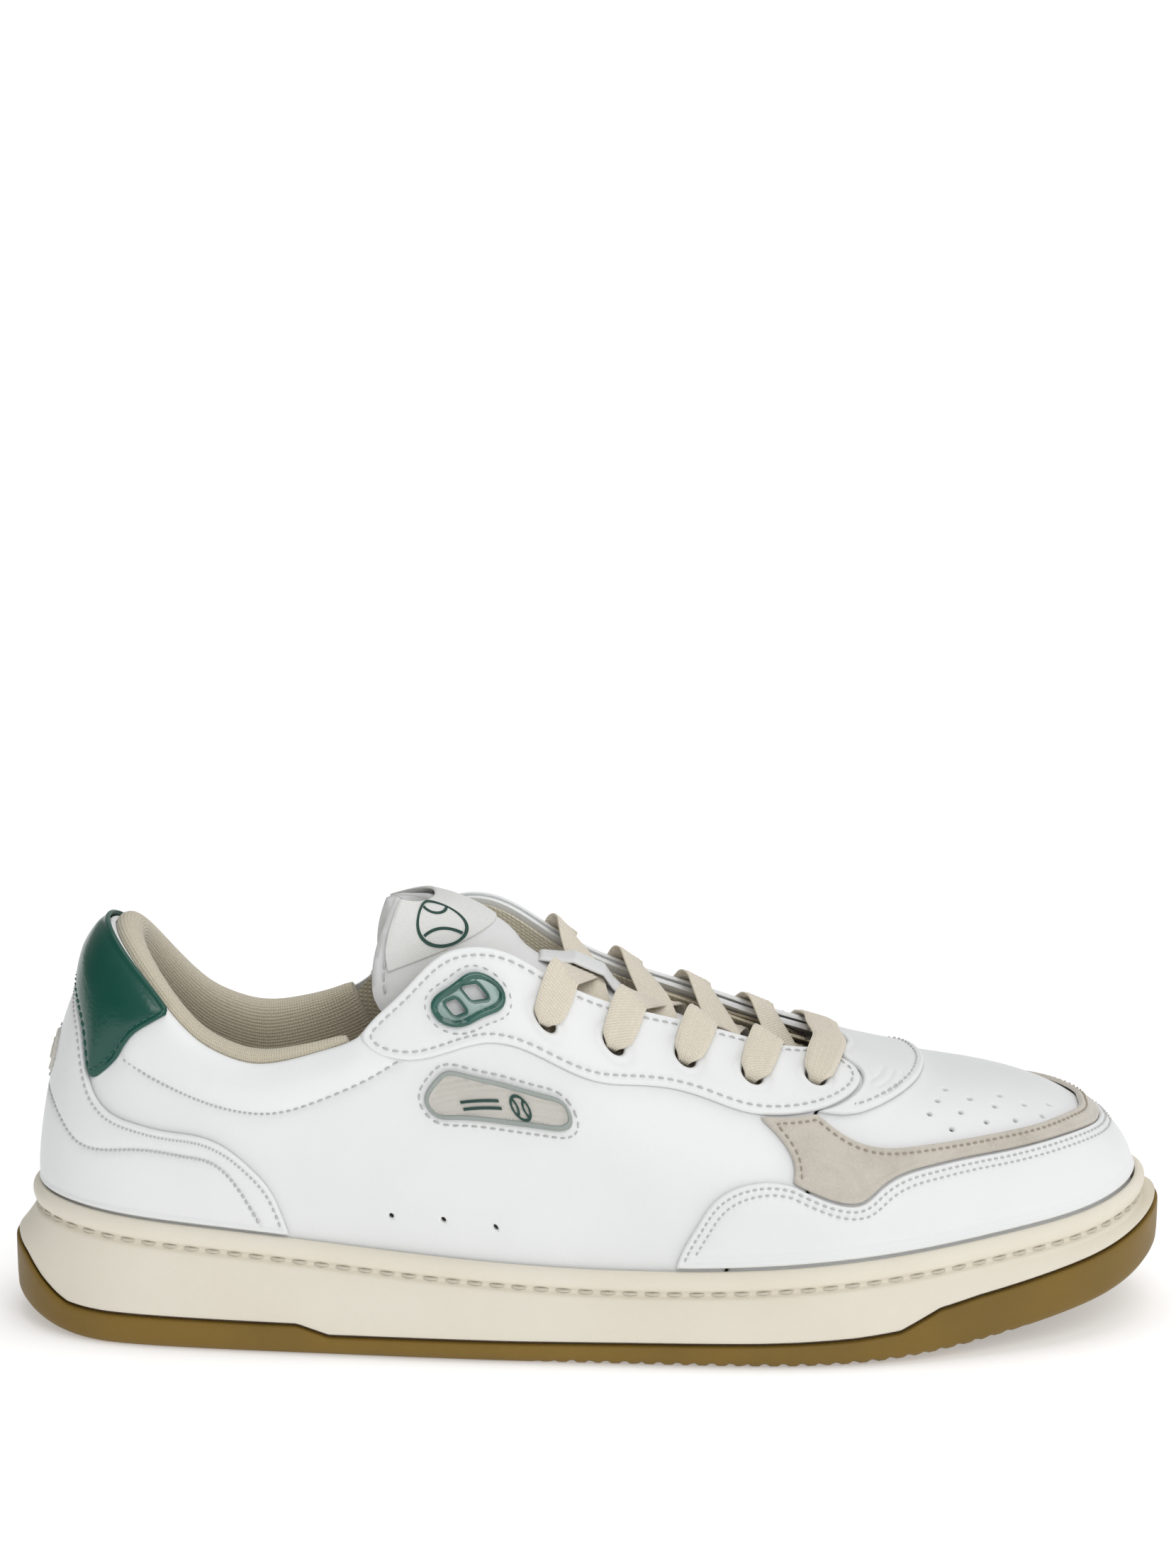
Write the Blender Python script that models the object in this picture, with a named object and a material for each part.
"""Low-cut court shoe for the right foot, EU size 42, as an assembly of closed pieces.

The design is drawn in millimetres: x runs from the heel (0) to the toe (295), y is negative on
the lateral side, z is up from the ground.  The pieces are written to the scene in metres with the
origin under the middle of the shoe.

The upper is one smooth last surface.  Every panel is an outline on a flattened pattern of that
surface, lifted to two offsets from it, so neighbouring layers stay parallel.
"""
import bpy
import numpy as np
from mathutils import Vector, geometry

# ---------------------------------------------------------------- driving dimensions (mm)
LENGTH = 295.0
MIDDLE_Y = 0.75           # centre of the outsole's width
MM = 0.001                # millimetres to metres
COLUMNS = 720             # stations round the outline
GIRTHS = 160              # stations up the last surface
SEAM_DROP = 8.0           # how far the upper runs down inside the sidewall
GAP = 0.4                 # clearance kept between neighbouring pieces

LATERAL_OUTLINE = [(0, 0), (4.5, -18), (17, -30), (42, -38), (80, -43.5), (120, -48.5),
                   (160, -52), (195, -54), (226, -50.5), (254, -41.5), (277, -29.5), (290, -14.5)]
MEDIAL_OUTLINE = [(295, 6), (291, 24), (279, 39), (259, 50), (230, 55.5), (204, 54.5), (175, 48),
                  (145, 41), (112, 38), (80, 38.5), (42, 37.5), (17, 30), (4.5, 17.5)]

# layer depths below (-) and above (+) the last surface
LEATHER = (-1.5, 0.0)
STIFFENER = (-2.7, -2.0)
LINING = (-4.2, -3.4)
OVERLAY = (0.5, 1.7)
BADGE = (0.5, 1.4)
TRIM = (2.2, 3.6)

# ---------------------------------------------------------------- curves


def second_derivatives(steps, slopes_left, periodic=False):
    """Solve the cubic spline's tridiagonal system for knots a given distance apart."""
    count = len(slopes_left)
    matrix = np.eye(count)
    for i in range(count):
        if not periodic and i in (0, count - 1):
            continue
        before, after = steps[i - 1], steps[i % len(steps)]
        matrix[i, i] = 0.0
        matrix[i, (i - 1) % count] += before
        matrix[i, i] += 2 * (before + after)
        matrix[i, (i + 1) % count] += after
    return np.linalg.solve(matrix, slopes_left)


def graph(xs, ys, x):
    """Natural cubic spline through (xs, ys), held level past both ends."""
    xs, ys = np.asarray(xs, float), np.asarray(ys, float)
    steps = np.diff(xs)
    slopes = np.diff(ys) / steps
    right = np.zeros(len(xs))
    right[1:-1] = 6 * np.diff(slopes)
    bend = second_derivatives(steps, right)
    x = np.clip(np.asarray(x, float), xs[0], xs[-1])
    k = np.clip(np.searchsorted(xs, x) - 1, 0, len(steps) - 1)
    t, h = x - xs[k], steps[k]
    return (ys[k] + t * (slopes[k] - h * (2 * bend[k] + bend[k + 1]) / 6)
            + bend[k] * t ** 2 / 2 + (bend[k + 1] - bend[k]) * t ** 3 / (6 * h))


def smooth(points, step):
    """Open cubic spline through 2-D or 3-D points, sampled about every step mm."""
    p = np.asarray(points, float)
    knots = np.concatenate([[0], np.cumsum(np.linalg.norm(np.diff(p, axis=0), axis=1))])
    count = max(2, int(np.ceil(knots[-1] / step)) + 1)
    t = np.linspace(0, knots[-1], count)
    return np.stack([graph(knots, p[:, k], t) for k in range(p.shape[1])], 1)


def closed_outline(points, count):
    """Periodic cubic spline through 2-D points, sampled evenly along its length."""
    p = np.asarray(points, float)
    ahead = np.roll(p, -1, 0)
    chord = np.linalg.norm(ahead - p, axis=1)
    slope = (ahead - p) / chord[:, None]
    bend = second_derivatives(chord, 6 * (slope - np.roll(slope, 1, 0)), periodic=True)
    pieces = []
    for i, h in enumerate(chord):
        t = np.linspace(0, h, 60, endpoint=False)[:, None]
        nxt = bend[(i + 1) % len(p)]
        pieces.append(p[i] + t * (slope[i] - h * (2 * bend[i] + nxt) / 6)
                      + bend[i] * t ** 2 / 2 + (nxt - bend[i]) * t ** 3 / (6 * h))
    dense = np.concatenate(pieces + [p[:1]])
    run = np.concatenate([[0], np.cumsum(np.linalg.norm(np.diff(dense, axis=0), axis=1))])
    even = np.linspace(0, run[-1], count, endpoint=False)
    return np.stack([np.interp(even, run, dense[:, k]) for k in (0, 1)], 1)


# ---------------------------------------------------------------- heights along the shoe


def top_of_sole(x):
    return graph([0, 30, 60, 100, 150, 190, 230, 260, 280, 295],
                 [36, 32.6, 30.3, 26.8, 23.8, 24.4, 27.6, 31.2, 34, 37.5], x)


def ground_edge(x):
    """Underside of the outsole: flat from the heel to the ball, then toe spring."""
    rise = graph([0, 12, 25, 60, 200, 225, 250, 270, 285, 295],
                 [6, 1.5, 0, 0, 0, 1.0, 4.5, 8.5, 12.5, 17], x)
    return np.where((x > 25) & (x < 200), 0.0, np.maximum(rise, 0.0))


def gum_height(x):
    """Height of the outsole's visible band above the ground edge."""
    return np.interp(x, [0, 6, 12, 18, 74, 82, 130, 190, 215, 226, 236, 246, 295],
                     [15, 13, 9.5, 8, 7.4, 4.8, 4.9, 5.7, 6.4, 7, 11, 11.8, 12])


def ridge(x):
    return graph([0, 60, 100, 123, 150, 175, 200, 220, 240, 260, 275, 285, 295],
                 [133, 133, 131, 122, 101, 86, 74, 67.5, 63.5, 61, 59, 57, 54], x)


def spine_y(x):
    return graph([0, 62, 100, 150, 200, 238, 295], [0, 0, 0, 1, 3, 4, 4], x)


def feather_inset(x):
    """How far the upper's foot lies inside the outsole's outline."""
    return graph([0, 20, 60, 150, 230, 270, 295], [7.5, 7, 6.5, 6, 6, 6, 6.5], x)


def soft_min(a, b, width):
    return -width * np.log(np.exp(-a / width) + np.exp(-b / width))


# ---------------------------------------------------------------- the last surface

OUTLINE = closed_outline(LATERAL_OUTLINE + MEDIAL_OUTLINE, COLUMNS)
_along = np.roll(OUTLINE, -1, 0) - np.roll(OUTLINE, 1, 0)
_along /= np.linalg.norm(_along, axis=1)[:, None]
OUTWARD = np.stack([_along[:, 1], -_along[:, 0]], 1)
if ((OUTLINE - OUTLINE.mean(0)) * OUTWARD).sum() < 0:
    OUTWARD = -OUTWARD


def build_last():
    """Columns of the last surface: foot outline, spine, points, normals and girths."""
    base = OUTLINE - OUTWARD * feather_inset(OUTLINE[:, 0])[:, None]
    cx = -soft_min(-np.full(COLUMNS, 62.0), -soft_min(base[:, 0], 238.0, 8.0), 8.0)
    spine = np.stack([cx, spine_y(cx)], 1)
    angle = np.linspace(0, np.pi / 2, GIRTHS)[None, :]
    stations = [0, 60, 100, 150, 200, 240, 295]
    lean = graph(stations, [2.0, 2.4, 2.4, 2.2, 2.3, 2.7, 2.9], base[:, 0])[:, None]
    rise = graph(stations, [1.7, 1.85, 1.9, 1.9, 2.0, 2.2, 2.3], base[:, 0])[:, None]
    reach = np.cos(angle) ** (2 / lean)
    up = np.sin(angle) ** (2 / rise)
    x = spine[:, :1] + reach * (base[:, :1] - spine[:, :1])
    y = spine[:, 1:] + reach * (base[:, 1:] - spine[:, 1:])
    foot = top_of_sole(base[:, 0])[:, None] - SEAM_DROP
    points = np.stack([x, y, foot + (ridge(x) - foot) * up], 2)
    girth = np.concatenate([np.zeros((COLUMNS, 1)), np.cumsum(
        np.linalg.norm(np.diff(points, axis=1), axis=2), 1)], 1)
    normal = np.cross(np.gradient(points, axis=1), np.roll(points, -1, 0) - np.roll(points, 1, 0))
    normal /= np.linalg.norm(normal, axis=2)[:, :, None] + 1e-12
    normal[:, -3:] = normal[:, -4:-3]
    outward = base - spine
    if (normal[:, 8, :2] * outward).sum() < 0:
        normal = -normal
    return base, spine, points, normal, girth


BASE, SPINE, POINTS, NORMALS, GIRTH = build_last()
RAY = (BASE - SPINE) / np.linalg.norm(BASE - SPINE, axis=1)[:, None]
FULL = GIRTH[:, -1]
RUN = np.concatenate([[0], np.cumsum(np.linalg.norm(np.roll(BASE, -1, 0) - BASE, axis=1))])
TOE = int(np.argmax(BASE[:, 0]))
MEDIAL_RAISE = 7.0        # the medial side stands higher round the throat


def column_of(pattern):
    """For points of the flat pattern: fractional column and distance from the spine."""
    cols, dists = [], []
    for point in np.atleast_2d(pattern):
        rel = point - SPINE
        side = rel[:, 0] * RAY[:, 1] - rel[:, 1] * RAY[:, 0]
        ahead = np.roll(side, -1)
        reach = (rel * RAY).sum(1)
        hit = np.nonzero((side * ahead <= 0) & (reach > -0.5))[0]
        best = hit[np.argmax(reach[hit])]
        t = side[best] / (side[best] - ahead[best] + 1e-15)
        cols.append(best + t)
        dists.append(reach[best] * (1 - t) + reach[(best + 1) % COLUMNS] * t)
    return np.array(cols), np.maximum(np.array(dists), 0.0)


def blend_columns(table, col):
    low = np.floor(col).astype(int) % COLUMNS
    t = (col - np.floor(col)).reshape([-1] + [1] * (table.ndim - 1))
    return table[low] * (1 - t) + table[(low + 1) % COLUMNS] * t


def lift(pattern, offset):
    """Map pattern points to 3-D at an offset from the last surface."""
    col, dist = column_of(pattern)
    girths, points = blend_columns(GIRTH, col), blend_columns(POINTS, col)
    normals = blend_columns(NORMALS, col)
    offset = np.broadcast_to(np.asarray(offset, float), (len(col),))
    out = np.empty((len(col), 3))
    for i in range(len(col)):
        g = np.clip(girths[i, -1] - dist[i], 0, girths[i, -1])
        p = [np.interp(g, girths[i], points[i, :, k]) for k in range(3)]
        n = np.array([np.interp(g, girths[i], normals[i, :, k]) for k in range(3)])
        out[i] = np.array(p) + n / np.linalg.norm(n) * offset[i]
    return out


def medial(pattern):
    """The matching pattern points on the medial side of lateral ones."""
    col, dist = column_of(pattern)
    run = np.interp(col, np.arange(COLUMNS + 1), RUN)
    run = np.where(run > RUN[TOE] + 5, 0.0, run)
    mirrored = RUN[-1] - run * (RUN[-1] - RUN[TOE]) / RUN[TOE]
    other = np.interp(mirrored, RUN, np.arange(COLUMNS + 1)) % COLUMNS
    full = blend_columns(FULL, other)
    dist = dist * full / blend_columns(FULL, col)
    raised = MEDIAL_RAISE * graph([80, 105, 150, 200], [0, 1, 0.8, 0], blend_columns(SPINE, other)[:, 0])
    dist = dist - raised * (1 - dist / full) * np.clip(dist / 12.0, 0, 1)
    return blend_columns(SPINE, other) + blend_columns(RAY, other) * dist[:, None]


def foot_edge(start, end, girth, step):
    """Pattern points at a fixed girth above the upper's foot, from one run to another."""
    count = max(2, int(abs(end - start) / step) + 1)
    run = np.linspace(start, end, count) % RUN[-1]
    col = np.interp(run, RUN, np.arange(COLUMNS + 1)) % COLUMNS
    reach = blend_columns(FULL, col) - girth
    return blend_columns(SPINE, col) + blend_columns(RAY, col) * reach[:, None]


def toe_axis(girth):
    return SPINE[TOE] + RAY[TOE] * (FULL[TOE] - girth)


def both_sides(half, step):
    """A curve from the lateral side across the centre to its mirror image."""
    half = np.asarray(half, float)
    return smooth(np.concatenate([half, medial(half[:-1])[::-1]]), step)


# ---------------------------------------------------------------- pattern outlines (lateral)

COLLAR = [(12.5, 0), (13, -10), (16.5, -31), (22.7, -47.6), (32, -59.8), (44.5, -67.8),
          (59, -72.2), (72.8, -71.6), (82, -69.5), (90.5, -65.5)]
THROAT = [(90.5, -65.5), (93, -62.3), (99, -56), (105.5, -48), (111, -42), (117, -38),
          (123.5, -35), (130, -33.3), (136, -32.5), (146, -30), (155, -27), (164, -24),
          (174, -21), (184, -18.5), (197, -15), (206, -10), (211, -4), (212.5, 3.4)]
LINING_REAR = [(101, -94), (104, -78), (105.5, -60), (106, -48)]
EYESTAY_LOW = [(90.5, -66.3), (93, -69), (98.8, -70.7), (104.5, -70), (113, -65.6),
               (120.5, -60.4), (126.2, -57.2), (132.8, -54.8), (143.2, -52.3), (150, -50),
               (158.5, -45.8), (169, -41.7), (177.4, -40.6), (185.8, -40.3), (192.3, -39),
               (198.7, -36.6), (207.8, -31.4), (214, -25.2), (216.3, -19.7), (215, -14.5),
               (209.5, -11.5), (204.5, -12.2)]
STRAP_FRONT = [(205.5, -33.6), (213, -32), (220.2, -27.5), (226.7, -20.6), (231, -13),
               (233, -5), (233.5, 4)]
STRAP_BACK = [(205.5, -33.6), (208.4, -31.9), (214.7, -25.6), (217.1, -19.7), (215.8, -13.8),
              (211.5, -9.5), (212.6, -4), (213.5, 3.4)]
WING_TOP = [(205, -34.5), (209.7, -37.4), (215.1, -39.4), (221.3, -39.5), (230, -37),
            (240.6, -32.8), (252.3, -27.2), (263.4, -19.7), (271, -10.5), (275.3, -0.6)]
WING_REAR = [(190.5, -40.3), (194.1, -42.7), (197.8, -46.5), (199.2, -50), (198.9, -54.2)]
GUARD_TOP = [(198.9, -55.2), (205.2, -56.3), (211.6, -56.6), (216.1, -55.3), (220.6, -50.8),
             (226.8, -45.5), (233.8, -41.8), (244.9, -36.6), (256.1, -31.1), (267.7, -22.7),
             (275.4, -14), (280.6, -4)]
GUARD_REAR = [(169.8, -85.5), (171.4, -81), (174.6, -74.3), (178.3, -67.3), (183, -61.9),
              (188.6, -58.1), (194.5, -55.8), (198.9, -55.2)]
VAMP_SEAM = [(178.5, -93), (181, -85), (190, -66.5), (202, -56.5), (202, -46), (206, -30),
             (209, -14), (206.5, -9.6)]
COUNTER_EDGE = [(-6, -0.2), (-7.5, -12), (-9.4, -22.2), (-13.9, -32.9), (-16.3, -40.7),
                (-15.1, -49.2), (-6.8, -61.5), (6.4, -73), (28.2, -84.8), (43.3, -92.5),
                (53.7, -98.9), (61.4, -105.3), (66.3, -113.5)]
TAB_EDGE = [(-5.2, -0.2), (-6.8, -12), (-8.4, -23.9), (-12.8, -33.5), (-14.3, -38.4),
            (-10.2, -41.7), (-1, -44.4), (8, -45), (15.1, -46.7), (22, -48.2)]
BADGE_OUTLINE = [(106.6, -80.2), (108.5, -74.8), (112, -70.8), (117, -69.6), (126.2, -66.9),
                 (137, -62.4), (142, -61.3), (143.6, -64), (141.6, -68), (138, -70.5),
                 (126.2, -77.2), (114, -82.3), (109, -83)]
BUCKLE_OUTLINE = [(118.7, -43.6), (122.6, -42.8), (126, -44.2), (126.4, -47), (121.5, -53.3),
                  (116.5, -58), (113, -59.4), (109.6, -58.6), (108.2, -56.2), (112.8, -49.4)]
BUCKLE_SLOTS = [[(115.2, -48.5), (119.4, -46.2), (122.4, -48.0), (118.2, -51.0)],
                [(111.4, -54.0), (114.3, -51.8), (117.0, -53.8), (113.6, -56.4)]]
EYELETS = [(136.6, -44.0), (153.7, -38.0), (171.8, -32.1), (188.6, -29.4), (204.8, -23.2)]
EYELET_RADIUS = 3.4
VENTS = [(97.8, -111.1), (111.1, -109.0), (124.3, -104.8)]

# ---------------------------------------------------------------- materials

MATERIALS = {
    "gum_rubber": ((0.170, 0.100, 0.034), 0.55, 0.0),
    "cream_rubber": ((0.740, 0.690, 0.590), 0.60, 0.0),
    "white_leather": ((0.790, 0.800, 0.795), 0.42, 0.0),
    "suede": ((0.640, 0.590, 0.520), 0.95, 0.0),
    "green_leather": ((0.010, 0.055, 0.040), 0.30, 0.0),
    "green_moulding": ((0.020, 0.110, 0.085), 0.30, 0.0),
    "lining_textile": ((0.460, 0.430, 0.340), 0.95, 0.0),
    "tongue_leather": ((0.740, 0.750, 0.750), 0.45, 0.0),
    "label_textile": ((0.700, 0.700, 0.660), 0.85, 0.0),
    "badge_rubber": ((0.560, 0.550, 0.520), 0.60, 0.0),
    "white_foam": ((0.780, 0.760, 0.700), 0.95, 0.0),
    "board": ((0.560, 0.480, 0.360), 0.90, 0.0),
    "lace_cotton": ((0.760, 0.720, 0.630), 0.95, 0.0),
    "aglet_plastic": ((0.800, 0.780, 0.720), 0.25, 0.0),
}


def material(name):
    found = bpy.data.materials.get(name)
    if found:
        return found
    color, roughness, metallic = MATERIALS[name]
    made = bpy.data.materials.new(name)
    made.use_nodes = True
    shader = made.node_tree.nodes["Principled BSDF"]
    shader.inputs["Base Color"].default_value = (*color, 1)
    shader.inputs["Roughness"].default_value = roughness
    shader.inputs["Metallic"].default_value = metallic
    made.diffuse_color = (*color, 1)
    return made


# ---------------------------------------------------------------- mesh helpers


def add_piece(name, slot, points, faces):
    """Make one closed object from millimetre points, with outward faces."""
    verts = (np.asarray(points, float) - [LENGTH / 2, MIDDLE_Y, 0]) * MM
    mesh = bpy.data.meshes.new(name)
    mesh.from_pydata([tuple(v) for v in verts], [], [tuple(int(i) for i in f) for f in faces])
    mesh.validate()
    mesh.update()
    tris = [(f.vertices[0], f.vertices[i], f.vertices[i + 1])
            for f in mesh.polygons for i in range(1, len(f.vertices) - 1)]
    a, b, c = (verts[[t[k] for t in tris]] for k in range(3))
    if (np.cross(a, b) * c).sum() < 0:
        mesh.flip_normals()
    mesh.materials.append(material(slot))
    made = bpy.data.objects.new(name, mesh)
    bpy.context.collection.objects.link(made)
    return made


def inside(points, loop):
    """Even-odd test of 2-D points against a closed loop."""
    x, y = points[:, 0], points[:, 1]
    result = np.zeros(len(points), bool)
    for (x0, y0), (x1, y1) in zip(loop, np.roll(loop, -1, 0)):
        crosses = (y0 > y) != (y1 > y)
        at = x0 + (y - y0) * (x1 - x0) / (y1 - y0 + 1e-15)
        result ^= crosses & (x < at)
    return result


def honeycomb(low, high, step):
    rows = np.arange(np.floor(low[1] / (step * 0.866)), np.ceil(high[1] / (step * 0.866)) + 1)
    cols = np.arange(np.floor(low[0] / step), np.ceil(high[0] / step) + 1)
    grid = [((c + 0.5 * (r % 2)) * step, r * step * 0.866) for r in rows for c in cols]
    return np.array(grid)


TOE_ZONE = 196.0          # past this the last curves more, so its grid is finer


def distance_to(points, loop):
    a, b = loop, np.roll(loop, -1, 0)
    best = np.full(len(points), 1e9)
    for p, q in zip(a, b):
        d = q - p
        t = np.clip(((points - p) @ d) / (d @ d + 1e-12), 0, 1)
        best = np.minimum(best, np.linalg.norm(points - p - t[:, None] * d, axis=1))
    return best


def flat_mesh(outline, holes, step):
    """Triangulate a pattern outline with even interior points."""
    outline = np.asarray(outline, float)
    low, high = outline.min(0), outline.max(0)
    coarse, fine = honeycomb(low, high, step), honeycomb(low, high, step * 0.72)
    grid = np.concatenate([coarse[coarse[:, 0] < TOE_ZONE], fine[fine[:, 0] >= TOE_ZONE]])
    keep = inside(grid, outline)
    for loop in [outline] + holes:
        keep &= distance_to(grid, loop) > step * 0.42
    for hole in holes:
        keep &= ~inside(grid, hole)
    loops = [outline] + holes
    verts, edges = [], []
    for loop in loops:
        start = len(verts)
        verts += [Vector(p) for p in loop]
        edges += [(start + i, start + (i + 1) % len(loop)) for i in range(len(loop))]
    verts += [Vector(p) for p in grid[keep]]
    points, _, faces, _, _, _ = geometry.delaunay_2d_cdt(verts, edges, [], 0, 1e-5)
    points = np.array([tuple(p) for p in points])
    faces = np.array([f for f in faces if len(f) == 3])
    a, b, c = (points[faces[:, k]] for k in range(3))
    twice_area = (b - a)[:, 0] * (c - a)[:, 1] - (b - a)[:, 1] * (c - a)[:, 0]
    faces[twice_area < 0] = faces[twice_area < 0][:, ::-1]
    middle = points[faces].mean(1)
    good = inside(middle, outline) & (np.abs(twice_area) > 1e-6)
    for hole in holes:
        good &= ~inside(middle, hole)
    return points, faces[good]


def thicken(low, high, faces):
    """Close two matching layers of points into one solid along their free edges."""
    count = len(low)
    used = {}
    for face in faces:
        for a, b in zip(face, np.roll(face, -1)):
            used[(int(a), int(b))] = True
    walls = [(a, b, b + count, a + count) for a, b in used if (b, a) not in used]
    solid = [tuple(f) for f in faces[:, ::-1]] + [tuple(f + count) for f in faces]
    return np.concatenate([low, high]), solid + walls


def drop_repeats(loop):
    loop = np.asarray(loop, float)
    keep = np.linalg.norm(loop - np.roll(loop, 1, 0), axis=1) > 0.25
    return loop[keep]


def panel(name, slot, outline, layer, holes=(), step=12.0):
    """A sheet of the upper between two offsets from the last surface."""
    loops = [drop_repeats(h) for h in holes]
    flat, faces = flat_mesh(drop_repeats(outline), loops, step)
    points, solid = thicken(lift(flat, layer[0]), lift(flat, layer[1]), faces)
    used = sorted({int(i) for f in solid for i in f})
    number = {old: new for new, old in enumerate(used)}
    return add_piece(name, slot, points[used], [[number[int(i)] for i in f] for f in solid])


def disc(centre, radius, sides=7):
    angle = np.arange(sides) / sides * 2 * np.pi
    return np.asarray(centre) + radius * np.stack([np.cos(angle), np.sin(angle)], 1)


# ---------------------------------------------------------------- sole unit

RUNGS = 30                # cross stations of the sole's lofts


def ring(inset, height):
    """A closed loop at an inset from the outline; left and right points share their x."""
    inset = np.broadcast_to(np.asarray(inset, float), (COLUMNS,))
    loop = OUTLINE - OUTWARD * inset[:, None]
    heel, toe = int(np.argmin(loop[:, 0])), int(np.argmax(loop[:, 0]))
    loop = np.roll(loop, -heel, 0)
    toe = (toe - heel) % COLUMNS
    near, far = loop[:toe + 1], np.concatenate([loop[toe:], loop[:1]])[::-1]
    x = near[0, 0] + (near[-1, 0] - near[0, 0]) * (1 - np.cos(np.linspace(0, np.pi, RUNGS + 1))) / 2
    y_near, y_far = np.interp(x, near[:, 0], near[:, 1]), np.interp(x, far[:, 0], far[:, 1])
    xs = np.concatenate([x, x[-2:0:-1]])
    ys = np.concatenate([y_near, y_far[-2:0:-1]])
    return np.stack([xs, ys, height(xs)], 1)


def loft(name, slot, rings):
    """Stack rings into a solid, closed by ladder-like caps on the first and last ring."""
    size = len(rings[0])
    faces = []
    for layer in range(len(rings) - 1):
        a, b = layer * size, (layer + 1) * size
        faces += [(a + i, a + (i + 1) % size, b + (i + 1) % size, b + i) for i in range(size)]
    for start, flip in ((0, True), ((len(rings) - 1) * size, False)):
        for i in range(RUNGS):
            face = [start + i, start + i + 1, start + (size - i - 1) % size, start + (size - i) % size]
            face = list(dict.fromkeys(face))
            faces.append(face[::-1] if flip else face)
    return add_piece(name, slot, np.concatenate(rings), faces)


BEAD = feather_inset(OUTLINE[:, 0]) - 2.5          # inset of the bead on the sole's top edge
WALL = feather_inset(OUTLINE[:, 0]) - 0.5          # inset of the sidewall's inner face
LINED = feather_inset(OUTLINE[:, 0]) + 4.6         # inset of what lies inside the lining


def build_sole():
    def gum_top(x):
        return ground_edge(x) + gum_height(x)

    def over_gum(x):
        return gum_top(x) + 2 * GAP

    def over_ground(rise):
        return lambda x: ground_edge(x) + rise

    def under_bead(drop):
        return lambda x: top_of_sole(x) - drop

    def over_board(rise):
        return lambda x: top_of_sole(x) - SEAM_DROP + rise

    loft("outsole", "gum_rubber", [
        ring(4.5, over_ground(0)), ring(1.6, over_ground(0.5)), ring(0.3, over_ground(2.2)),
        ring(0, gum_top), ring(3.0, gum_top), ring(3.0, over_ground(3.0))])
    loft("cupsole", "cream_rubber", [
        ring(3.5, over_ground(3.0 + GAP)), ring(3.5, over_gum), ring(0.6, over_gum),
        ring(BEAD + 0.5, under_bead(7.0)),
        ring(BEAD + 2.2, under_bead(6.2)), ring(BEAD + 2.2, under_bead(5.2)),
        ring(BEAD, under_bead(4.2)), ring(BEAD - 0.5, under_bead(2.2)),
        ring(BEAD + 0.3, under_bead(0.4)), ring(BEAD + 1.2, under_bead(0.0)),
        ring(WALL, under_bead(0.0)), ring(WALL, over_ground(7.0))])
    loft("midsole_foam", "white_foam", [
        ring(WALL + GAP, over_ground(7.0 + GAP)), ring(WALL + GAP, over_board(-GAP))])
    loft("lasting_board", "board", [ring(LINED, over_board(0.2)), ring(LINED, over_board(1.7))])
    loft("sockliner", "lining_textile", [
        ring(LINED, over_board(2.1)), ring(LINED + 1.8, over_board(7.0)),
        ring(LINED + 3.4, over_board(7.0)), ring(LINED + 7, over_board(5.8))])


# ---------------------------------------------------------------- upper


def pair(prefix, slot, outline, layer, holes=(), step=12.0):
    """The same panel on the lateral and the medial side."""
    panel(prefix + "_lateral", slot, outline, layer, holes, step)
    panel(prefix + "_medial", slot, medial(outline), layer, [medial(h) for h in holes], step)


EDGE_STEP = 7.5


def side_outline(foot_girth, seam_shift, heel_gap, top=None):
    """Outline of a quarter: foot, front seam, topline and heel seam."""
    seam = smooth(VAMP_SEAM, EDGE_STEP) + [seam_shift, 0]
    top = smooth(COLLAR + THROAT[1:-2], EDGE_STEP) if top is None else top
    foot = foot_edge(heel_gap * 1.2, 186.5, foot_girth, EDGE_STEP)
    seam = seam[(seam[:, 1] > foot[-1, 1] + 3)]
    heel_seam = smooth([top[0] + [0, -heel_gap], foot[0]], EDGE_STEP)
    return np.concatenate([foot, seam, top[:0:-1], heel_seam[:-1]])


def build_quarters():
    eyelets = [disc(c, EYELET_RADIUS) for c in EYELETS]
    vents = [disc(c, 0.8, 5) for c in VENTS]
    pair("quarter", "white_leather", side_outline(0.3, 0, 0.3), LEATHER, eyelets + vents)
    lowered = lower_curve(COLLAR, 28.5)
    top = np.concatenate([smooth(lowered, EDGE_STEP), smooth(LINING_REAR, EDGE_STEP),
                          smooth(THROAT[3:-2], EDGE_STEP)[1:]])
    pair("quarter_lining", "lining_textile", side_outline(0.3, 0, 0.3, top), LINING, eyelets)


def lower_curve(curve, drop):
    """A pattern curve moved down the upper by a girth distance."""
    col, dist = column_of(curve)
    return blend_columns(SPINE, col) + blend_columns(RAY, col) * (dist + drop)[:, None]


def front_half(foot_girth, seam_shift):
    """Outline of the vamp: both front seams, the throat and the toe."""
    seam = smooth(VAMP_SEAM, EDGE_STEP) + [seam_shift, 0]
    foot = foot_edge(187.3, RUN[TOE], foot_girth, EDGE_STEP)
    seam = seam[(seam[:, 1] > foot[0, 1] + 3)]
    throat = smooth(THROAT[-3:], EDGE_STEP) + [seam_shift, 0]
    half = np.concatenate([foot[::-1], seam, throat[1:]])
    return np.concatenate([half, medial(half[1:-1])[::-1]])


def build_vamp():
    panel("vamp", "white_leather", front_half(0.3, 0.7), LEATHER)
    panel("vamp_lining", "lining_textile", front_half(0.3, 0.7), LINING)
    puff = np.concatenate([foot_edge(262, RUN[TOE], 1.0, EDGE_STEP)[::-1],
                           smooth([(252, -52), (254, -34), (256, -20), (258, 4)], EDGE_STEP)])
    panel("toe_puff", "board", np.concatenate([puff, medial(puff[1:-1])[::-1]]), STIFFENER)


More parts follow.
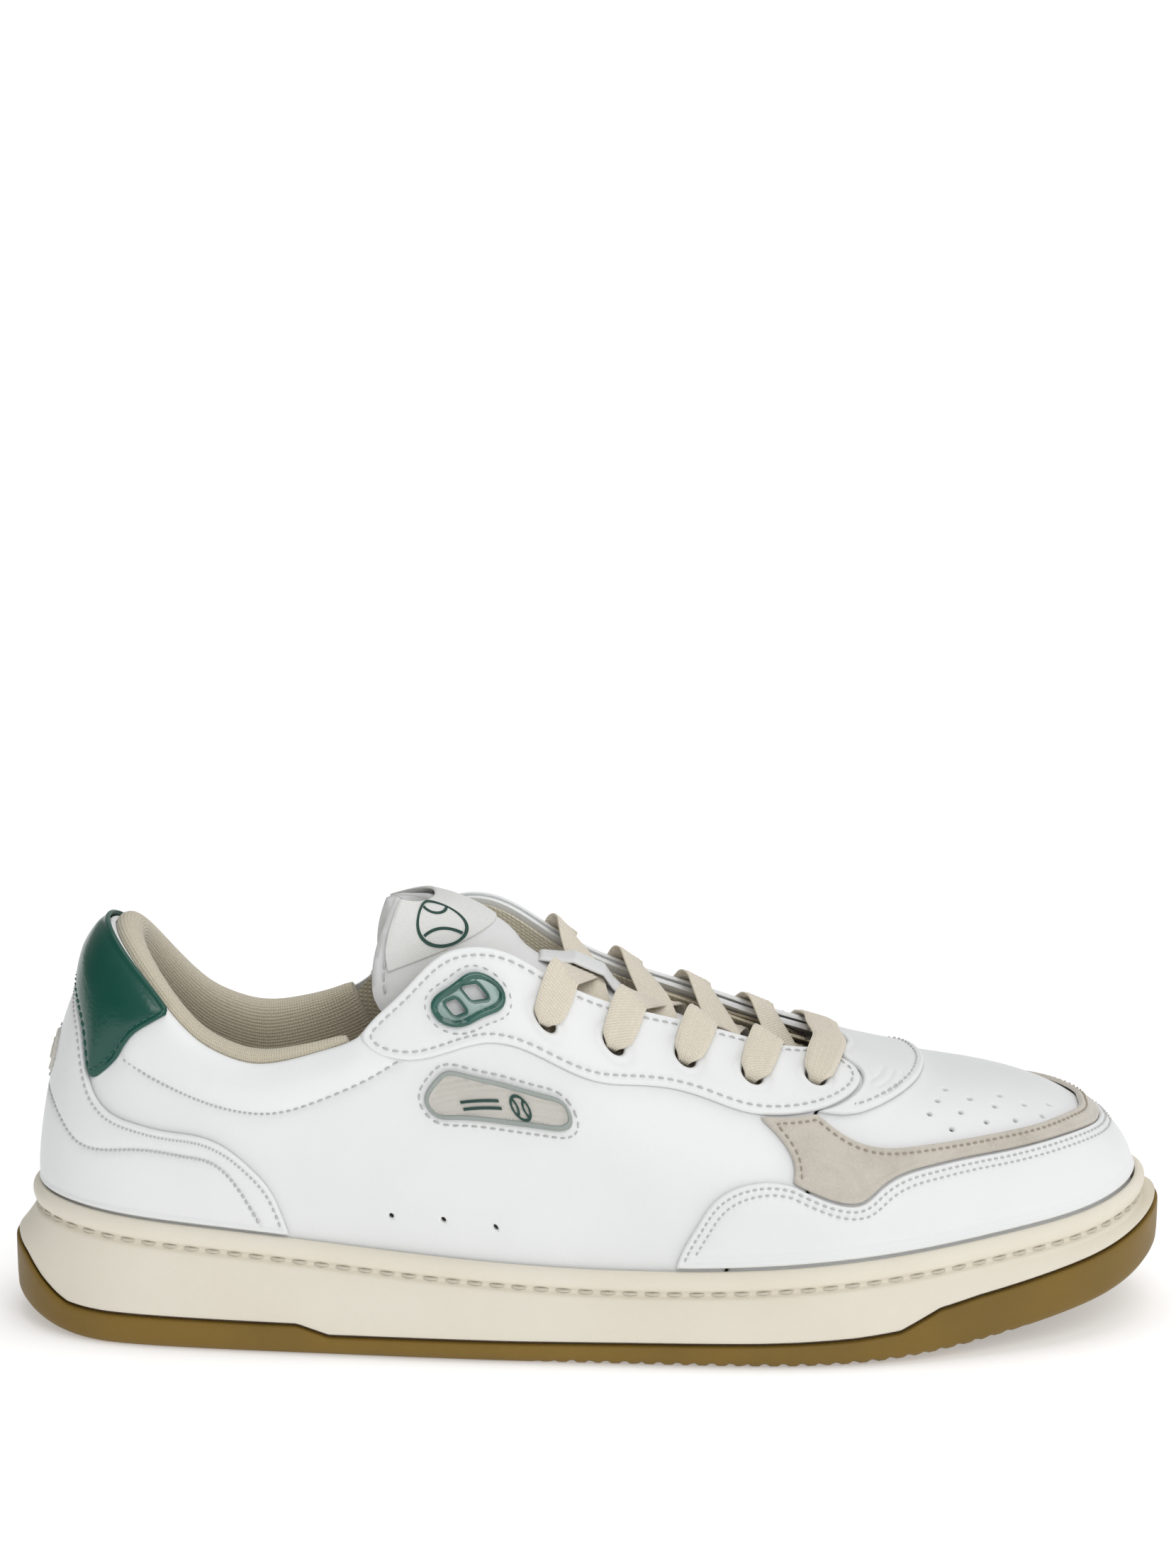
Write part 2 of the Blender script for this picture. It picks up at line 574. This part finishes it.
def build_overlays():
    eyelets = [disc(c, EYELET_RADIUS) for c in EYELETS]
    inner = smooth(THROAT[:-2], EDGE_STEP)[:-1]
    outer = smooth(EYESTAY_LOW, 5.5)
    stay = np.concatenate([inner, outer[::-1]])
    slots = [np.array(s) for s in BUCKLE_SLOTS]
    pair("eyestay", "white_leather", stay, OVERLAY, eyelets + slots, 10.0)
    reinforcement = np.concatenate([smooth([(131, -35.5), (146, -32.5), (164, -26.5),
                                            (184, -21), (202, -15.5)], EDGE_STEP),
                                    smooth([(210, -24), (198, -33), (184, -36.5), (164, -41),
                                            (146, -47.5), (131, -51)], EDGE_STEP)])
    pair("eyelet_tape", "board", reinforcement, STIFFENER, eyelets, 11.0)
    front = both_sides(STRAP_FRONT, 6.0)
    back = both_sides(STRAP_BACK, 6.0)
    panel("throat_strap", "white_leather", np.concatenate([front, back[-2:0:-1]]), OVERLAY, (), 9.0)

    rear = smooth(WING_REAR, 5.0)
    top = smooth(WING_TOP + [toe_axis(31.3)], 6.0)
    along_stay = smooth([(190.5, -40.3), (198.9, -37.4), (205, -34.5)], 6.0)
    low = smooth(GUARD_TOP + [toe_axis(25.0)], 6.0) + [0, 0.7]
    half_top = np.concatenate([rear[:0:-1], along_stay[:-1], top])
    upper_edge = np.concatenate([half_top, medial(half_top[:-1])[::-1]])
    lower_half = low[1:]
    lower_edge = np.concatenate([lower_half, medial(lower_half[:-1])[::-1]])
    panel("suede_wing", "suede", np.concatenate([upper_edge, lower_edge[::-1]]), OVERLAY, (), 9.5)

    guard = np.concatenate([smooth(GUARD_REAR, 6.0), smooth(GUARD_TOP + [toe_axis(24.0)], 6.0)[1:]])
    guard = np.concatenate([guard, medial(guard[:-1])[::-1]])
    foot = foot_edge(180.0, RUN[-1] - 180.0 * (RUN[-1] - RUN[TOE]) / RUN[TOE], 8.7, EDGE_STEP)
    panel("mudguard", "white_leather", np.concatenate([guard, foot[::-1]]), OVERLAY, (), 9.5)

    edge = both_sides(COUNTER_EDGE[::-1], 7.0)
    reach = 82.0 * (RUN[-1] - RUN[TOE]) / RUN[TOE]
    foot = foot_edge(-reach, 82.0, 8.7, EDGE_STEP)
    panel("heel_counter", "white_leather", np.concatenate([edge, foot]), OVERLAY, (), 10.5)
    low = both_sides(TAB_EDGE[::-1], 6.0)
    high = both_sides(lower_curve(COLLAR[:4], 0.6)[::-1], 6.0)
    panel("heel_tab", "green_leather", np.concatenate([low, high[::-1]]), OVERLAY, (), 8.5)
    stiff = both_sides(lower_curve(COUNTER_EDGE[1:-3][::-1], 12.0), 7.0)
    run = column_of(stiff[:1])[0][0] / COLUMNS * RUN[-1]
    foot = foot_edge(-run * 0.98, run * 0.98, 1.0, EDGE_STEP)
    panel("heel_stiffener", "board", np.concatenate([stiff, foot]), STIFFENER, (), 11.0)


def heel_point(run, girth):
    return foot_edge(run, run, girth, 1.0)[0]


def build_badges():
    plate = closed_outline(BADGE_OUTLINE, 26)
    pair("side_badge", "badge_rubber", plate, BADGE, (), 7.0)
    slots = [np.array(s) for s in BUCKLE_SLOTS]
    buckle = closed_outline(BUCKLE_OUTLINE, 24)
    pair("buckle", "green_moulding", buckle, TRIM, slots, 7.0)
    angles = np.arange(14) / 14 * 2 * np.pi
    oval = np.array([heel_point(6.0 * np.sin(a), 41.5 + 5.5 * np.cos(a)) for a in angles])
    panel("heel_badge", "badge_rubber", oval, (2.0, 3.0), (), 6.0)


# ---------------------------------------------------------------- padded collar

FOAM_SECTION = [(-24, -2.0), (-10, -2.0), (-0.6, -2.0), (1.4, -2.7), (2.4, -4.5), (1.6, -7.0),
                (-1.5, -8.5), (-8, -8.7), (-16, -6.9), (-24, -3.4)]
LINING_SECTION = [(0.6, -1.5), (1.9, -2.2), (2.9, -4.5), (2.0, -7.3), (-1.4, -9.0), (-8, -9.2),
                  (-16, -7.4), (-24.5, -4.0), (-24.5, -4.9), (-16, -8.3), (-8, -10.1),
                  (-1.1, -9.9), (2.8, -8.0), (3.9, -4.5), (2.6, -1.4), (0.6, -0.3)]


def collar_path(step):
    half = np.array(COLLAR[1:-1] + [(86.5, -67.9)])[::-1]
    middle = np.array([COLLAR[0]])
    return smooth(np.concatenate([half, middle, medial(half)[::-1]]), step)


def sweep_collar(name, slot, section):
    """Sweep a section given as (up, out) along the topline."""
    path = collar_path(8.0)
    along = np.gradient(path, axis=0)
    along /= np.linalg.norm(along, axis=1)[:, None]
    up = np.stack([along[:, 1], -along[:, 0]], 1)
    if up[len(up) // 2, 0] < 0:
        up = -up
    run = np.minimum(np.arange(len(path)), np.arange(len(path))[::-1]) * 8.0
    full = 0.5 + 0.5 * np.clip(run / 30.0, 0, 1) ** 0.5
    rings = []
    for k, point in enumerate(path):
        flat = [point + up[k] * a * (full[k] if a > 0 else 1) for a, _ in section]
        outs = [b if b > -2.1 else -2.1 + (b + 2.1) * full[k] for _, b in section]
        rings.append(lift(np.array(flat), outs))
    size = len(section)
    faces = []
    for k in range(len(rings) - 1):
        a, b = k * size, (k + 1) * size
        faces += [(a + i, a + (i + 1) % size, b + (i + 1) % size, b + i) for i in range(size)]
    caps = geometry.tessellate_polygon([[Vector((a, b, 0)) for a, b in section]])
    last = (len(rings) - 1) * size
    faces += [tuple(reversed(c)) for c in caps] + [tuple(i + last for i in c) for c in caps]
    return add_piece(name, slot, np.concatenate(rings), faces)


# ---------------------------------------------------------------- tongue

TONGUE_MIDDLE = [(224, 55), (205, 62), (185, 70), (165, 79.5), (150, 86), (140, 90.5),
                 (132.5, 95.2), (129.2, 98.8), (125.5, 102.2), (120, 105.4), (113.5, 108.2),
                 (107.5, 109.8)]
TONGUE_EDGE = [(222, 13, 52), (205, 19, 54), (185, 25, 56), (165, 28, 58), (147, 29.5, 61),
               (130, 29, 65), (110, 27.5, 73), (95.5, 25, 83.5), (92.2, 23.6, 91),
               (93, 22, 99), (96, 20, 107), (99.5, 17.5, 114)]
SPLIT = 7.0               # station of the fold where the flap hinges
TONGUE_LAST = 11.0
ACROSS = 10


def tongue_centre_y(x):
    return spine_y(x) * 0.9


def edge_station(s, upper):
    """The edge's station that goes with the middle's: the fold leaves room for the flap's wings."""
    if upper:
        return SPLIT + 0.75 + (s - SPLIT) * (TONGUE_LAST - SPLIT - 0.75) / (TONGUE_LAST - SPLIT)
    return min(s, SPLIT - 0.45)


def under_last(points, depth):
    """Push points that come too near the last surface down to a depth below it."""
    cloud, normals = POINTS.reshape(-1, 3), NORMALS.reshape(-1, 3)
    reach = (FULL[:, None] - GIRTH).reshape(-1)
    out = points.copy()
    for i, point in enumerate(points):
        near = int(np.argmin(((cloud - point) ** 2).sum(1)))
        edge = np.interp(cloud[near, 0], [95, 123, 164, 206, 213], [60, 28, 18, 6, -5])
        over = float((point - cloud[near]) @ normals[near]) + depth
        if reach[near] > edge and over > 0:
            out[i] = point - normals[near] * over
    return out


MEDIAL_SHORTENING = 1.2   # stations by which the flap's medial corner stands lower
MEDIAL_NARROWING = ([90, 120, 150, 175, 205, 224], [0.84, 0.80, 0.82, 0.88, 0.92, 0.95])


def tongue_grid(stations):
    """Outer face of the tongue: rows along its length, points from edge to edge."""
    knots = np.arange(len(TONGUE_MIDDLE), dtype=float)
    mid, edge = np.array(TONGUE_MIDDLE, float), np.array(TONGUE_EDGE, float)
    angle = np.linspace(-np.pi / 2, np.pi / 2, ACROSS + 1)
    rows = []
    for s, s_edge in stations:
        mx, mz = (float(graph(knots, mid[:, k], s)) for k in (0, 1))
        at_edge = s_edge - MEDIAL_SHORTENING * np.where(angle > 0, max(s - 7.5, 0) / 3.5, 0)
        ex, ey, ez = (graph(knots, edge[:, k], at_edge) for k in (0, 1, 2))
        bulge = np.cos(angle)
        cy = tongue_centre_y(mx) * bulge
        side = np.sin(angle) * np.where(angle > 0, np.interp(ex, *MEDIAL_NARROWING), 1.0)
        row = np.stack([ex + (mx - ex) * bulge, ey * side + cy, ez + (mz - ez) * bulge], 1)
        rows.append(under_last(row, 6.8))
    return np.array(rows)


def softened(normal):
    """Directions averaged with their neighbours, so that deep layers don't fold."""
    for _ in range(4):
        wide = np.pad(normal, ((1, 1), (1, 1), (0, 0)), mode="edge")
        normal = (wide[:-2, 1:-1] + wide[2:, 1:-1] + wide[1:-1, :-2] + wide[1:-1, 2:]
                  + 2 * wide[1:-1, 1:-1])
        normal /= np.linalg.norm(normal, axis=2)[:, :, None]
    return normal


def tongue_layers(prefix, stations, thick):
    """Face, foam and lining of a stretch of the tongue."""
    grid = tongue_grid(stations)
    normal = np.cross(np.gradient(grid, axis=1), np.gradient(grid, axis=0))
    normal = softened(normal / np.linalg.norm(normal, axis=2)[:, :, None])
    if normal[0, ACROSS // 2, 2] < 0:
        normal = -normal
    rows = len(grid)
    faces = [(r * (ACROSS + 1) + c, r * (ACROSS + 1) + c + 1, (r + 1) * (ACROSS + 1) + c + 1,
              (r + 1) * (ACROSS + 1) + c) for r in range(rows - 1) for c in range(ACROSS)]
    faces = np.array(faces)
    round_off = np.sqrt(np.maximum(np.cos(np.linspace(-np.pi / 2, np.pi / 2, ACROSS + 1)), 0))
    depth = np.maximum(np.asarray(thick)[:, None] * (0.5 + 0.5 * round_off)[None, :], 4.8)

    def at(fraction, shift):
        offset = depth * fraction + shift
        return (grid - normal * offset[:, :, None]).reshape(-1, 3)

    for suffix, slot, top, bottom in (
            ("face", "tongue_leather", at(0, 0), at(0, 1.1)),
            ("foam", "white_foam", at(0, 1.8), at(1, -2.0)),
            ("lining", "lining_textile", at(1, -1.0), at(1, 0))):
        points, solid = thicken(bottom, top, faces)
        add_piece(prefix + "_" + suffix, slot, points, solid)


def build_tongue():
    low = np.linspace(0, SPLIT - 0.25, 10)
    tongue_layers("tongue", [(s, edge_station(s, False)) for s in low],
                  np.interp(low, [0, 4, 7], [4.5, 5.5, 6.5]))
    high = np.linspace(SPLIT, TONGUE_LAST, 6)
    tongue_layers("tongue_top", [(s, edge_station(s, True)) for s in high],
                  np.interp(high, [7, 8, 10, 11], [6.5, 9, 9, 6]))


def on_tongue(along, across, lift_off):
    """Point on the tongue's face: along in stations, across from -1 to 1."""
    rows = tongue_grid([(s, edge_station(s, s > SPLIT)) for s in (along - 0.02, along, along + 0.02)])
    normal = np.cross(np.gradient(rows, axis=1), np.gradient(rows, axis=0))
    normal /= np.linalg.norm(normal, axis=2)[:, :, None]
    if normal[1, ACROSS // 2, 2] < 0:
        normal = -normal
    place = (across + 1) / 2 * ACROSS
    steps = np.arange(ACROSS + 1)
    point = np.array([np.interp(place, steps, rows[1, :, k]) for k in range(3)])
    out = np.array([np.interp(place, steps, normal[1, :, k]) for k in range(3)])
    return point + out / np.linalg.norm(out) * lift_off


def patch_on_tongue(name, slot, alongs, widths, low, thick):
    """A thin patch on the tongue's face, one row for each station."""
    across = np.linspace(-1, 1, 9)
    rows = list(zip(alongs, widths, np.broadcast_to(low, (len(alongs),))))
    bottom = [on_tongue(s, a * w, d) for s, w, d in rows for a in across]
    top = [on_tongue(s, a * w, d + thick) for s, w, d in rows for a in across]
    faces = np.array([(r * 9 + c, r * 9 + c + 1, (r + 1) * 9 + c + 1, (r + 1) * 9 + c)
                      for r in range(len(alongs) - 1) for c in range(8)])
    points, solid = thicken(np.array(bottom), np.array(top), faces)
    add_piece(name, slot, points, solid)


# ---------------------------------------------------------------- lace

LACE_WIDTH = 9.0
LACE_THICK = 1.2


def throat_point(x):
    """Point of the throat's edge at a given x of the pattern."""
    curve = smooth(THROAT, 1.0)
    return np.array([x, np.interp(x, curve[:, 0], curve[:, 1])])


def on_side(flat, side):
    flat = np.atleast_2d(flat)
    return medial(flat) if side > 0 else flat


def lace_stop(kind, side, index, facing):
    """A stop on the lace's route through the eyestay: place, face direction, width, thickness."""
    eyelet = np.array(EYELETS[index])
    inner, outer = throat_point(eyelet[0] - 1.5), throat_point(eyelet[0] + 3.5)
    flat, offset = {
        "dip": (inner + [0, -1.5], -5.6),
        "under": (eyelet, -5.6),
        "hole_low": (eyelet, -4.0),
        "hole_high": (eyelet, 2.3),
        "out": (eyelet + [0.2, 0.8], 3.5),
        "lay": (eyelet * 0.5 + outer * 0.5, 3.0),
        "edge": (outer + [0.3, 2.4], 3.0)}[kind]
    flat = on_side(flat, side)
    point = lift(flat, offset)[0]
    normal = lift(flat, offset + 1)[0] - point
    if kind.startswith("hole"):
        edge = lift(on_side(outer, side), offset)[0]
        toward = edge - point
        toward -= normal * (toward @ normal)
        return point, toward / np.linalg.norm(toward) * facing, 3.6, 1.6
    return point, normal * facing, LACE_WIDTH, LACE_THICK


def crossing(index, on_top, facing):
    """Middle of the span between eyelets index and index + 1."""
    x = (EYELETS[index][0] + EYELETS[index + 1][0]) / 2 + 1.5
    mid = np.array(TONGUE_MIDDLE, float)[::-1]
    z = np.interp(x, mid[:, 0], mid[:, 1]) + (4.4 if on_top else 2.0)
    return np.array([x, float(tongue_centre_y(x)), z]), np.array([0.3, 0, 1.0]) * facing, \
        LACE_WIDTH, LACE_THICK


TAIL = [((139.5, -53), -5.6), ((147, -61), -5.8), ((157, -67), -6.4), ((168, -70), -7.6)]


def tail(side, facing):
    """The lace's free end, tucked between the tongue and the lining, from the eyelet down."""
    stops = []
    for flat, offset in TAIL:
        flat = on_side(flat, side)
        point = lift(flat, offset)[0]
        stops.append((point, (lift(flat, offset + 1)[0] - point) * facing, LACE_WIDTH * 0.8, LACE_THICK))
    return stops


UPWARD = ("under", "hole_low", "hole_high", "out", "lay", "edge")


def lace_route():
    """All the lace's stops: up through every eyelet, across, and back up the other way."""
    facing, side = 1.0, -1
    stops = tail(side, facing)[::-1]
    for index in range(len(EYELETS)):
        for kind in UPWARD:
            flip = -1 if kind in ("out", "lay", "edge") else 1
            stops.append(lace_stop(kind, side, index, facing * flip))
        facing = -facing
        if index < len(EYELETS) - 1:
            stops.append(crossing(index, side > 0, facing))
            side = -side
            stops.append(lace_stop("dip", side, index + 1, facing))
    last = EYELETS[-1][0] + 3.0
    bar = np.array([last, float(tongue_centre_y(last)), float(ridge(last)) + 3.0])
    stops.append((bar, np.array([0.3, 0, 1.0]) * facing, LACE_WIDTH, LACE_THICK))
    side = -side
    for index in range(len(EYELETS) - 1, -1, -1):
        for kind in UPWARD[::-1]:
            flip = 1 if kind in ("out", "lay", "edge") else -1
            stops.append(lace_stop(kind, side, index, facing * flip))
        facing = -facing
        if index > 0:
            stops.append(lace_stop("dip", side, index, facing))
            side = -side
            stops.append(crossing(index - 1, side > 0, facing))
    return stops + tail(side, facing)


def build_lace():
    stops = lace_route()
    place = np.array([s[0] for s in stops])
    knots = np.concatenate([[0], np.cumsum(np.linalg.norm(np.diff(place, axis=0), axis=1))])
    spans = [np.linspace(a, b, max(1, int(round((b - a) / 6.5))), endpoint=False)
             for a, b in zip(knots[:-1], knots[1:])]
    t = np.concatenate(spans + [knots[-1:]])
    path = np.stack([np.interp(t, knots, place[:, k]) for k in range(3)], 1)
    normal = np.stack([np.interp(t, knots, [s[1][k] for s in stops]) for k in range(3)], 1)
    width = np.interp(t, knots, [s[2] for s in stops])
    thick = np.interp(t, knots, [s[3] for s in stops])
    along = np.gradient(path, axis=0)
    along /= np.linalg.norm(along, axis=1)[:, None]
    across = np.cross(normal, along)
    across /= np.linalg.norm(across, axis=1)[:, None]
    out = np.cross(along, across)
    section = [(-0.5, 0.35), (0.5, 0.35), (0.5, -0.35), (-0.5, -0.35)]
    rings = [path[i] + across[i] * a * width[i] + out[i] * b * thick[i]
             for i in range(len(t)) for a, b in section]
    faces = []
    for k in range(len(t) - 1):
        a, b = k * 4, (k + 1) * 4
        faces += [(a + i, a + (i + 1) % 4, b + (i + 1) % 4, b + i) for i in range(4)]
    last = (len(t) - 1) * 4
    faces += [(3, 2, 1, 0), (last, last + 1, last + 2, last + 3)]
    add_piece("lace", "lace_cotton", np.array(rings), faces)
    for name, end, inner in (("aglet_lateral", 0, 1), ("aglet_medial", -1, -2)):
        build_aglet(name, path[end], path[end] - path[inner])
    return knots[-1]


def build_aglet(name, start, heading):
    """A stiff tip on the lace's end."""
    heading = heading / np.linalg.norm(heading)
    side = np.cross(heading, [0, 0, 1.0])
    side /= np.linalg.norm(side)
    up = np.cross(side, heading)
    angle = np.arange(8) / 8 * 2 * np.pi
    rings = [start + heading * d + side * np.cos(a) * 1.2 + up * np.sin(a) * 1.2
             for d in (0.5, 20.0) for a in angle]
    faces = [(i, (i + 1) % 8, 8 + (i + 1) % 8, 8 + i) for i in range(8)]
    faces += [tuple(range(8))[::-1], tuple(range(8, 16))]
    add_piece(name, "aglet_plastic", np.array(rings), faces)


# ---------------------------------------------------------------- assembly


def main():
    for old in list(bpy.data.objects):
        bpy.data.objects.remove(old, do_unlink=True)
    build_sole()
    build_quarters()
    build_vamp()
    build_overlays()
    build_badges()
    sweep_collar("collar_foam", "white_foam", FOAM_SECTION)
    sweep_collar("collar_lining", "lining_textile", LINING_SECTION)
    build_tongue()
    patch_on_tongue("tongue_label", "label_textile", [8.6, 9.4, 10.2, 10.7],
                    [0.62, 0.66, 0.66, 0.6], 0.9, 0.8)
    patch_on_tongue("lace_keeper", "tongue_leather", [3.55, 3.75, 4.0, 4.75, 5.1, 5.6],
                    [0.11] * 6, [0.6, 4.0, 8.8, 10.4, 8.6, 0.6], 0.8)
    print("lace length in mm:", round(float(build_lace()), 1))


main()
